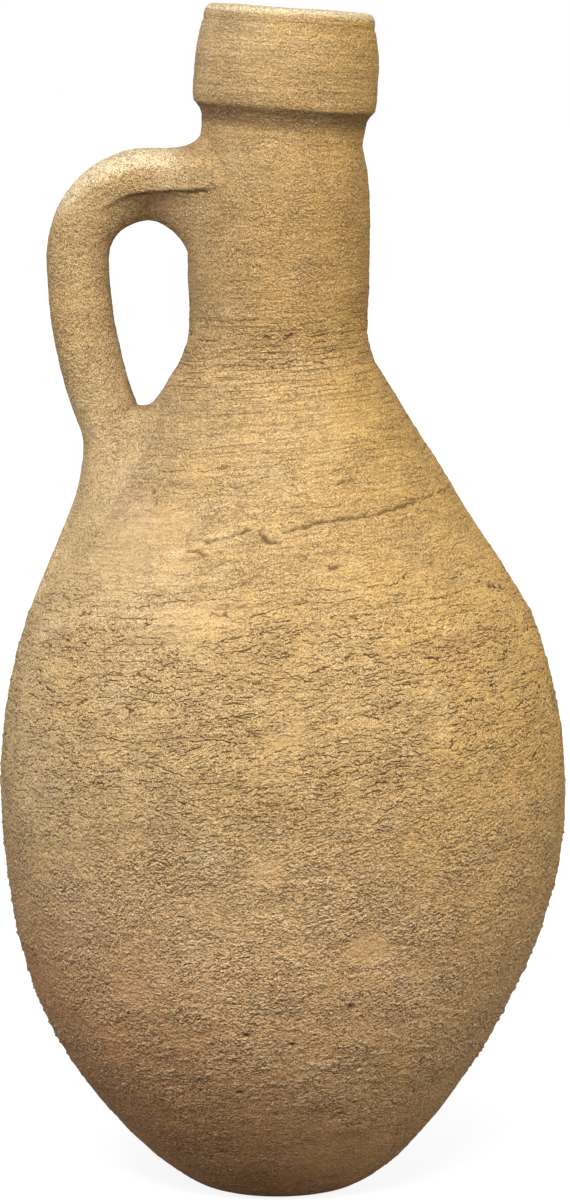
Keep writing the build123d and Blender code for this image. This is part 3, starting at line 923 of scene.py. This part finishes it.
def makeNeck():
    section = []
    share = wall["mapShare"]
    gap = wall["throatGap"]
    rows = outsideRows(jointOut["neck"], throatStop)
    heights, extras = zip(*neckShape["fuller"])
    for i, (r, z, outR, outZ) in enumerate(rows):
        r += np.interp(z / mm, heights, extras) * mm
        tilt = mouthAxis.x * leanShare(z)
        section.append((r, z, outR, outZ, 1.0, driftAt(z), tilt, 1.0 if i == 0 else 0.0, share["skin"]))
    spigotRadius = mouthRadius("neck", neckShape["readAt"] * mm)
    boreRadius = mouthRadius("neck", neckShape["readAt"] * mm, outside=False)
    last = section[-1][0]
    steps = round((neckShape["undercut"] + gap) / wall["rowStep"])
    for t in np.linspace(0, 1, steps + 1)[1:]:
        rise = (-gap + t * (neckShape["undercut"] + gap)) * mm
        radius = last + t * (spigotRadius - last) + neckShape["undercutOut"] * mm * t**3
        section.append(leaning(radius, rise, 1, 0, 1.0 - neckShape["calmer"] * t))
    end = neckShape["spigot"] * mm
    for radius, rise in ((spigotRadius, 0.5 * end), (spigotRadius, end), (boreRadius, end)):
        section.append(leaning(radius, rise, 1, 0, 0, weight=share["spigot"]))
    calm = wall["insideRelief"]
    high, low = neckShape["boreSpan"]
    for rise in np.linspace(high * end, low * end, neckShape["boreRows"]):
        section.append(leaning(boreRadius, rise, -1, 0, calm, weight=share["inside"]))
    for r, z in innerRows("neck", throat.z - neckShape["boreFrom"] * mm, jointIn["shoulder"]):
        section.append((r, z, -1, 0, calm, driftAt(z), mouthAxis.x * leanShare(z), 0, share["inside"]))
    bottom = section[-1][:2]
    section += hidden(between(bottom, rows[0][:2], wall["jointRows"]))
    return turned("neck", section)


# Rim collar: a heavy band that leans with the mouth, with a groove under its rounded lip

collarShape = {
    "foot": 5.0,
    "edge": 14.5,           # height of the lower corner
    "hollow": 2.3,          # how hollow the curve below the corner is; 1 is a straight chamfer
    "clear": 0.4,           # how far the hollow's inner end stands off the neck
    "readStep": 0.5,        # between the heights that are read from the side
    "lipFrom": 58.5,        # above this the outline is read from the top
    "lipStep": 0.4,         # between the radii that are read there
    "castFrom": 100.0,      # height above the throat that it is read from
    "lipStop": 0.2,         # how far from the bore the reading stops
    "lipInside": 3.0,       # height over which the lip goes over into the bore
    "fineStep": 0.2,
    "softening": 1.4,
    # between these heights the outline is filled by this share towards its chord
    "smear": (52.0, 60.0, 0.45),
    "relief": 0.75,
    "reliefFrom": 55.0,     # the whole lip has it, from this height
    "boreAt": 50.0,         # height at which the bore is measured
    "boreEnd": 45.0,
    "film": 0.1,            # between the collar and the spigot
}


def makeCollar():
    outline = []
    for rise in np.arange(collarShape["foot"], collarShape["lipFrom"], collarShape["readStep"]) * mm:
        radius = mouthRadius("rim_collar", float(rise))
        if radius:
            outline.append((radius, float(rise)))
    edge = mouthRadius("rim_collar", collarShape["edge"] * mm)
    inner = mouthRadius("neck", neckShape["readAt"] * mm)
    hollowEnd = inner + collarShape["clear"] * mm
    for i, (radius, rise) in enumerate(outline):
        t = (rise / mm - collarShape["foot"]) / (collarShape["edge"] - collarShape["foot"])
        if t < 1:
            outline[i] = (hollowEnd + (edge - hollowEnd) * max(t, 0) ** collarShape["hollow"], rise)
    low, high, share = collarShape["smear"]
    part = [i for i, (radius, rise) in enumerate(outline) if low * mm <= rise <= high * mm]
    ends = [outline[part[0]], outline[part[-1]]]
    for i in part:
        radius, rise = outline[i]
        chord = np.interp(rise, [ends[0][1], ends[1][1]], [ends[0][0], ends[1][0]])
        outline[i] = (radius + share * max(0.0, chord - radius), rise)
    boreRadius = mouthRadius("rim_collar", collarShape["boreAt"] * mm, outside=False)
    top = throat + mouthAxis * (collarShape["castFrom"] * mm)
    lipStep = collarShape["lipStep"] * mm
    for radius in np.arange(outline[-1][0] - lipStep, boreRadius + collarShape["lipStop"] * mm, -lipStep):
        start = top + Vector((0, -radius, 0))
        hit, place = frame["nodes"]["rim_collar"].ray_cast(start, -mouthAxis)[:2]
        if hit:
            outline.append((float(radius), (place - throat).dot(mouthAxis)))
    outline.append((boreRadius, outline[-1][1] - collarShape["lipInside"] * mm))
    outline.append((boreRadius, collarShape["boreEnd"] * mm))
    outline = np.array(outline)
    length = lengthAlong(outline)
    fine = np.arange(0, length[-1], collarShape["fineStep"] * mm)
    line = np.column_stack([np.interp(fine, length, outline[:, i]) for i in (0, 1)])
    window = int(collarShape["softening"] / collarShape["fineStep"]) | 1
    padded = np.pad(line, ((window // 2, window // 2), (0, 0)), mode="edge")
    line = np.column_stack([np.convolve(padded[:, i], np.ones(window) / window, "valid") for i in (0, 1)])
    every = max(1, round(wall["rowStep"] / collarShape["fineStep"]))
    runs = np.gradient(line, axis=0)[::every]
    line = line[::every]
    section = []
    for i, ((r, rise), (dr, dz)) in enumerate(zip(line, runs)):
        long = math.hypot(dr, dz)
        outside = dr > -0.5 * long or rise > collarShape["reliefFrom"] * mm     # not in the bore
        skin = collarShape["relief"] if outside else wall["insideRelief"]
        section.append(leaning(r, rise, dz / long, -dr / long, skin, 1.0 if i == 0 else 0.0))
    inner += collarShape["film"] * mm
    for rise in (collarShape["boreEnd"], 0.5 * collarShape["boreEnd"], collarShape["foot"]):
        section.append(leaning(inner, rise * mm, 1, 0, 0, weight=wall["mapShare"]["spigot"]))
    return turned("rim_collar", section)


# Coil smeared into the angle of neck and shoulder: a little proud, with edges that dive under the skin

coil = {
    "dive": 0.5,            # how far its edges go under the skin
    "depth": 2.0,
    "overrun": 2.5,         # how far it is drawn out past the coil of the solids
    "film": 0.3,            # between the coil of the solids and the wall
    "underEvery": 3,        # one row of its underside for so many of its outside
}


def makeCoil():
    low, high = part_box("neck_luting")[0].z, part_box("neck_luting")[1].z
    over = coil["overrun"] * mm
    section = []
    rows = outsideRows(low - over, high + over)
    for i, (r, z, outR, outZ) in enumerate(rows):
        proud = skinRadius("neck_luting", z) if low < z < high else None
        lift = max(0.0, (proud or r) - r - coil["film"] * mm)
        fade = min(1.0, (z - low + over) / over, (high + over - z) / over)
        lift -= coil["dive"] * mm * (1 - fade)
        crease = 1.0 if i in (0, len(rows) - 1) else 0.0
        section.append((r + lift, z, outR, outZ, 1.0, driftAt(z), 0, crease, 1.0))
    section += hidden([(row[0] - coil["depth"] * mm, row[1]) for row in rows[::-coil["underEvery"]]])
    return turned("neck_luting", section)


pieces["neck"] = makeNeck()
pieces["rim_collar"] = makeCollar()
pieces["neck_luting"] = makeCoil()
print("neck, collar and coil turned")


# Handle: a roll of clay bent into a loop, thicker on the arm, with the narrow side of its section to the gap

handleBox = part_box("handle")
loop = {
    "thickness": 33.0,
    "width": 38.0,
    "root": 36.0,           # how far from the middle its arm begins
    "bend": 36.0,           # radius of the tight curve at the top
    "sweep": 224.0,         # and of the long one down the grip
    "lift": 1.3,            # how far the arm stands above the plain roll's height
    "tuck": 0.3,            # how far the grip stands in from its reach
    "footAngle": 36.0,
    "sink": 5.0,            # how deep its ends reach into the wall
    "egg": 0.10,            # how much narrower the section is on the side of the gap
    "squareness": 2.3,      # power of its outline; 2 is an ellipse
    "columns": 136,
    "step": 0.9,
    # share of the way along, and thickness there against the plain roll
    "swell": [(0.0, 1.06), (0.15, 1.1), (0.22, 1.08), (0.28, 1.0), (0.36, 0.935), (0.45, 0.935),
              (0.6, 0.955), (0.8, 0.93), (1.0, 0.87)],
    "grain": 1.8,           # strength of the grain and of the broad unevenness against the wall's
    "uneven": 0.8,
    # fold in the front of the arm, where the roll was pressed against the neck
    "foldAngle": 99.0,
    "foldWidth": 3.5,
    "foldReach": 75.0,      # angle over which it dies away below
    "foldDepth": 3.4,
    "foldEnd": 0.28,
    "foldFade": 0.12,
    "foldShown": 0.2,       # how far along the roll the fold is a sharp line
    "facet": 0.9,           # how far the arm is cut back below the fold, as a share of its half width
}
loopHeight = handleBox[1].z - (0.5 * loop["thickness"] - loop["lift"]) * mm
loopReach = -handleBox[0].x - (0.5 * loop["thickness"] + loop["tuck"]) * mm


def loopPath():
    bend = loop["bend"] * mm
    sweep = loop["sweep"] * mm
    step = loop["step"] * mm
    path = [(x, loopHeight, -1.0, 0.0) for x in np.arange(-loop["root"] * mm, bend - loopReach, -step)]
    for turn in np.arange(0, math.pi / 2, step / bend):
        path.append((bend - loopReach - bend * math.sin(turn), loopHeight - bend + bend * math.cos(turn),
                     -math.cos(turn), -math.sin(turn)))
    for turn in np.arange(0, math.radians(loop["footAngle"]), step / sweep):
        path.append((sweep - loopReach - sweep * math.cos(turn), loopHeight - bend - sweep * math.sin(turn),
                     math.sin(turn), -math.cos(turn)))
    return np.array(path)


path = loopPath()
# angles of a ring, from the outside of the loop to the front
around = np.linspace(0, 2 * math.pi, loop["columns"], endpoint=False)


def foldShape(past):
    # rises at once at the fold and dies away below it, on the front only
    start = np.clip(past / loop["foldWidth"], 0, 1)
    return start * np.clip(1 - past / loop["foldReach"], 0, 1) * (around < math.pi)


def rollRing(station, wider=0.0):
    # one ring of the roll, at a station of the path
    x, z, hx, hz = path[station]
    share = station / (len(path) - 1)
    across = np.cos(around)
    aside = np.sin(around)
    power = loop["squareness"]
    even = (np.abs(across) ** power + np.abs(aside) ** power) ** (-1 / power)
    swell = np.interp(share, *zip(*loop["swell"]))
    past = np.degrees(around) - loop["foldAngle"]
    fold = foldShape(past)
    near = np.clip((loop["foldEnd"] - share) / loop["foldFade"], 0, 1)
    crease = math.cos(math.radians(loop["foldAngle"]))
    below = np.clip((crease - across) / (1 + crease), 0, 1) * (around < math.pi)
    thick = (0.5 * loop["thickness"] * swell + wider) * even * across
    wide = (0.5 * loop["width"] * swell + wider) * even * aside * (1 + loop["egg"] * across)
    facet = 0.5 * loop["width"] * swell * (1 - loop["facet"] * below)
    cut = np.minimum(wide, wide + near * (facet - wide))
    wide = np.where(below > 0, cut, wide) - near * fold * loop["foldDepth"]
    return np.column_stack([x + hz * thick * mm, -wide * mm, z - hx * thick * mm])


def intoWall(places, depth):
    # nothing reaches further into the jar than this depth below its skin
    middle = driftAt(places[:, 2])
    radius = np.hypot(places[:, 0] - middle, places[:, 1])
    least = outlineAt(places[:, 2]) - depth * mm
    grow = np.where(radius < least, least / np.maximum(radius, 1e-6), 1.0)
    return np.column_stack([middle + (places[:, 0] - middle) * grow, places[:, 1] * grow, places[:, 2]])


def ringed(name, rings, skins, creases, wrap, **strengths):
    # joins rings into a skin; wrap closes the last ring to the first, otherwise both ends get a cap
    rings = np.array(rings)
    count, columns = rings.shape[:2]
    places = rings.reshape(-1, 3)
    across = np.roll(rings, -1, axis=1) - np.roll(rings, 1, axis=1)
    onward = np.gradient(rings, axis=0)
    facing = np.cross(across, onward).reshape(-1, 3)
    facing /= np.maximum(np.linalg.norm(facing, axis=1), 1e-12)[:, None]
    faces = []
    corners = []
    for i in range(count if wrap else count - 1):
        for j in range(columns):
            k = (j + 1) % columns
            n = (i + 1) % count
            faces.append((i * columns + j, i * columns + k, n * columns + k, n * columns + j))
            corners.append([(j, i), (j + 1, i), (j + 1, i + 1), (j, i + 1)])
    if not wrap:
        places = np.vstack([places, rings[0].mean(0), rings[-1].mean(0)])
        facing = np.vstack([facing, facing[0], facing[-1]])
        low, high = len(places) - 2, len(places) - 1
        for j in range(columns):
            k = (j + 1) % columns
            faces.append((low, k, j))
            corners.append([(j, 0), (j + 1, 0), (j, 0)])
            faces.append((high, (count - 1) * columns + j, (count - 1) * columns + k))
            corners.append([(j, count), (j, count), (j + 1, count)])
    fan = np.array([(f[0], f[i], f[i + 1]) for f in faces for i in range(1, len(f) - 1)])
    a, b, c = (places[fan[:, i]] for i in range(3))
    if np.einsum("ij,ij->i", a, np.cross(b, c)).sum() < 0:
        faces = [f[::-1] for f in faces]
        corners = [c[::-1] for c in corners]
        facing = -facing
    piece = newPiece(name, places.tolist(), faces=faces)
    spare = [0.0] * (len(places) - count * columns)
    store(piece.data, "outward", "FLOAT_VECTOR", facing)
    for label, values in (("skin", skins), ("crease", creases)):
        store(piece.data, label, "FLOAT", list(np.repeat(values, columns)) + spare)
    chart = np.array([uv for face in corners for uv in face], float) / (columns, count)
    piece.data.uv_layers.new(name="OFBake").data.foreach_set("uv", chart.ravel().astype(np.float32))
    workClay(piece, **strengths)
    return bake(piece)


def foldGuide(name, places):
    helpers.append(newPiece(name, [tuple(p) for p in places], [(i, i + 1) for i in range(len(places) - 1)]))
    return helpers[-1]


def makeHandle():
    rings = [intoWall(rollRing(i), loop["sink"]) for i in range(len(path))]
    at = int(np.argmin(np.abs(np.degrees(around) - loop["foldAngle"] - loop["foldWidth"])))
    # the fold's line is cut in and darkened like a tear: painted shade in the crease
    fold = foldGuide("armFold", [ring[at] for ring in rings[:round(loop["foldShown"] * len(rings))]])
    return ringed("handle", rings, [1.0] * len(rings), [0.0] * len(rings), False, Tears=fold, Ledges=0.0,
                  Grain=loop["grain"], Swell=loop["uneven"])


# Lutings: clay drawn from the roll out over the wall, thinning to nothing at the edge

luting = {
    "rows": 52,
    "diveFrom": 0.8,        # share of the way out where the edge starts to dive under the skin
    "diveOver": 0.2,
    "inset": 2.0,           # how far its inside lies in the roll
    "grain": 1.4,           # strength of the grain and of the broad unevenness against the wall's
    "uneven": 0.8,
}
topLuting = {
    "start": 68.0,          # how far out along the arm it begins
    "up": 31.0,
    "down": 37.0,
    "side": 38.0,
    "lead": (30.0, 22.0, 22.0),      # above, aside and below
    "trail": (48.0, 26.0, 26.0),
    "nudge": 1.04,          # growth of the footprint that shows which way it opens
    # the clay is pressed back below a lip: share of the way out, angle of the lip, and depth
    "lip": [(0.0, 99.0, 0.0), (0.25, 96.0, 1.6), (0.5, 93.0, 2.6), (0.8, 89.0, 2.2), (1.0, 87.0, 0.8)],
    "foldShown": 0.6,
    "dive": 0.9,
    "depth": 5.0,
}
footLuting = {
    "start": 20.0,          # how far above the wall it begins, along the roll
    "up": 40.0,
    "down": 98.0,
    "side": 40.0,
    "lead": (75.0, 24.0, 15.0),      # downhill, aside and uphill
    "trail": (60.0, 26.0, 40.0),
    "nudge": 1.03,
    "saddle": 398.0,        # the clay fills the angle under the gap up to this height
    "saddleSoft": 1.2,
    "dive": 0.9,
    "depth": 5.0,
}


def spread(values):
    # goes over from the outer side of the loop to its flanks and to the side of the gap
    outer = np.clip(np.cos(around), 0, 1)
    inner = np.clip(-np.cos(around), 0, 1)
    return (outer * values[0] + (1 - outer - inner) * values[1] + inner * values[2])[:, None] * mm


def flare(name, start, root, heading, footprint, shape):
    ring = rollRing(start)
    edge = footprint(1.0)
    away = footprint(shape["nudge"]) - edge
    away /= np.linalg.norm(away, axis=1)[:, None]
    lead = heading * spread(shape["lead"])
    trail = away * spread(shape["trail"])
    t = np.linspace(0, 1, luting["rows"])[:, None, None]
    rows = ((2 * t**3 - 3 * t**2 + 1) * ring + (t**3 - 2 * t**2 + t) * lead
            + (3 * t**2 - 2 * t**3) * edge + (t**3 - t**2) * trail)
    middle = driftAt(rows[..., 2])
    out = np.stack([rows[..., 0] - middle, rows[..., 1], np.zeros(rows.shape[:2])], axis=-1)
    out /= np.linalg.norm(out, axis=-1)[..., None]
    dive = np.clip((t - luting["diveFrom"]) / luting["diveOver"], 0, 1) ** 2 * shape["dive"] * mm
    if "lip" in shape:
        shares, angles, depths = zip(*shape["lip"])
        past = np.degrees(around) - np.interp(t[:, :, 0], shares, angles)
        fold = foldShape(past)
        dive = dive + (fold * np.interp(t[:, :, 0], shares, depths))[..., None] * mm
    rows = rows - out * dive
    tears = {}
    if "lip" in shape:
        # the lip's line is cut in and darkened like a tear: painted shade in the crease
        line = [row[np.argmin(np.abs(p - loop["foldWidth"]))] for row, p in zip(rows, past)]
        tears["Tears"] = foldGuide("lutingFold", line[:round(shape["foldShown"] * len(line))])
    if "saddle" in shape:
        soft = shape["saddleSoft"] * mm
        fill = soft * np.log1p(np.exp((shape["saddle"] * mm - rows[..., 2]) / soft))
        rows[..., 2] += np.clip(-np.cos(around), 0, 1) ** 2 * fill
    deep = intoWall(rows[-1] - out[-1] * shape["depth"] * mm, shape["depth"])
    inside = [intoWall(rollRing(station, -luting["inset"]), shape["depth"]) for station in (root, start)]
    rings = list(rows) + [deep] + inside
    skins = [1.0] * len(rows) + [0.0] * 3
    creases = [1.0] + [0.0] * (len(rows) - 2) + [1.0, 0.0, 0.0, 0.0]
    return ringed(name, rings, skins, creases, True, Ledges=0.0, Grain=luting["grain"],
                  Swell=luting["uneven"], **tears)


def makeTopLuting():
    shape = topLuting
    start = int(np.argmax(path[:, 0] < -shape["start"] * mm))
    root = int(np.argmax(path[:, 0] < driftAt(loopHeight) - outlineAt(loopHeight)))
    heading = np.array([-path[start, 2], 0, -path[start, 3]])

    def footprint(grown):
        tall = np.where(np.cos(around) > 0, shape["up"], shape["down"]) * np.cos(around) * grown * mm
        y = -shape["side"] * np.sin(around) * grown * mm
        z = loopHeight + tall
        return np.column_stack([driftAt(z) - np.sqrt(outlineAt(z) ** 2 - y**2), y, z])

    return flare("handle_top_luting", start, root, heading, footprint, shape)


def makeFootLuting():
    shape = footLuting
    depth = np.abs(path[:, 0] - driftAt(path[:, 1])) - outlineAt(path[:, 1])
    grip = len(path) // 2
    meet = grip + int(np.argmax(depth[grip:] < 0))
    start = meet - round(shape["start"] / loop["step"])
    heading = np.array([path[start, 2], 0, path[start, 3]])
    rootHeight = path[meet, 1]
    slope = float(np.interp(rootHeight, skinHeights, skinSlopes))
    rise = 1 / math.hypot(1, slope)
    rootRadius = float(outlineAt(rootHeight))

    def footprint(grown):
        downhill = np.where(np.cos(around) > 0, -shape["down"], shape["up"])
        z = rootHeight + downhill * np.abs(np.cos(around)) * grown * mm * rise
        turn = shape["side"] * np.sin(around) * grown * mm / rootRadius
        r = outlineAt(z)
        return np.column_stack([driftAt(z) - r * np.cos(turn), -r * np.sin(turn), z])

    return flare("handle_foot_luting", start, meet, heading, footprint, shape)


pieces["handle"] = makeHandle()
pieces["handle_top_luting"] = makeTopLuting()
pieces["handle_foot_luting"] = makeFootLuting()
print("handle and lutings made")

for helper in helpers:
    bpy.data.objects.remove(helper)

for name, piece in pieces.items():
    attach(piece, "root")
    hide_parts(name)
print("pieces set on the frame:", sum(len(p.data.polygons) for p in pieces.values()), "faces")


# Studio: a pale floor, one broad lamp above the camera, weak lamps in front and aside, and a white surround

studio = {
    "floorSize": 40.0,
    "floorShown": 0.86,         # what the floor shows of its own near the jar; far off it is white
    "floorFade": (0.5, 2.2),
    "floorColour": (0.3, 0.3, 0.3, 1),
    "floorBounce": (0.10, 0.09, 0.08, 1),
    "surround": 0.22,
    "aim": (0, 0, 0.33),
    # place, width, depth and power of each lamp
    "lamps": {
        "skyLamp": ((-0.45, -3.9, 3.75), 3.1, 1.5, 290.0),
        "frontLamp": ((0.0, -3.2, 0.5), 2.6, 1.0, 11.0),
        "rightLamp": ((2.6, -1.5, 1.1), 1.4, 1.4, 44.0),
        "leftLamp": ((-2.6, -1.5, 1.1), 1.4, 1.4, 36.0),
    },
}


def seenOrCast(tree, seen, cast):
    # one shader for what is looked at, another for the light that falls on the jar
    ray = put(tree, "ShaderNodeLightPath").outputs
    direct = calc(tree, "MAXIMUM", ray["Is Camera Ray"], ray["Is Glossy Ray"])
    direct = calc(tree, "MAXIMUM", direct, ray["Is Transmission Ray"])
    return put(tree, "ShaderNodeMixShader", {0: direct, 1: cast.outputs[0], 2: seen.outputs[0]}).outputs[0]


def aimed(thing, place, aim):
    thing.location = place
    thing.rotation_euler = (Vector(aim) - thing.location).to_track_quat("-Z", "Y").to_euler()
    scene.collection.objects.link(thing)
    return thing


def makeFloor():
    half = 0.5 * studio["floorSize"]
    corners = [(-half, -half, 0), (half, -half, 0), (half, half, 0), (-half, half, 0)]
    floor = newPiece("floor", corners, faces=[(0, 1, 2, 3)])
    material = bpy.data.materials.new("paleFloor")
    material.use_nodes = True
    tree = material.node_tree
    tree.nodes.clear()
    lit = put(tree, "ShaderNodeBsdfDiffuse", {"Color": studio["floorColour"]})
    place = put(tree, "ShaderNodeTexCoord").outputs["Object"]
    away = vectors(tree, "LENGTH", place)["Value"]
    level = ramp(tree, away, *studio["floorFade"], studio["floorShown"], 1.0)
    own = put(tree, "ShaderNodeEmission", {"Color": (1, 1, 1, 1), "Strength": level})
    shown = put(tree, "ShaderNodeAddShader", {0: lit.outputs[0], 1: own.outputs[0]})
    bounce = put(tree, "ShaderNodeBsdfDiffuse", {"Color": studio["floorBounce"]})
    put(tree, "ShaderNodeOutputMaterial", {0: seenOrCast(tree, shown, bounce)})
    floor.data.materials.append(material)
    return floor


def makeLamp(name, place, width, depth, power):
    light = bpy.data.lights.new(name, "AREA")
    light.shape = "RECTANGLE"
    light.size = width
    light.size_y = depth
    light.energy = power
    aimed(bpy.data.objects.new(name, light), place, studio["aim"])


def makeSurround():
    world = bpy.data.worlds.new("surround")
    world.use_nodes = True
    tree = world.node_tree
    tree.nodes.clear()
    seen = put(tree, "ShaderNodeBackground", {"Color": (1, 1, 1, 1), "Strength": 1.0})
    cast = put(tree, "ShaderNodeBackground", {"Color": (1, 1, 1, 1), "Strength": studio["surround"]})
    put(tree, "ShaderNodeOutputWorld", {0: seenOrCast(tree, seen, cast)})
    scene.world = world


makeFloor()
for name, setting in studio["lamps"].items():
    makeLamp(name, *setting)
makeSurround()
scene.view_settings.view_transform = "Standard"

viewpoint = {
    "eye": (0.00075, -3.0, 0.62),
    "aim": (0.00075, 0.0, 0.2996),
    "lens": 179.12,
    "sensor": 36.0,
}
lens = bpy.data.cameras.new("camera")
lens.lens = viewpoint["lens"]
lens.sensor_width = viewpoint["sensor"]
lens.sensor_fit = "AUTO"
scene.camera = aimed(bpy.data.objects.new("camera", lens), viewpoint["eye"], viewpoint["aim"])
print("studio and camera set")
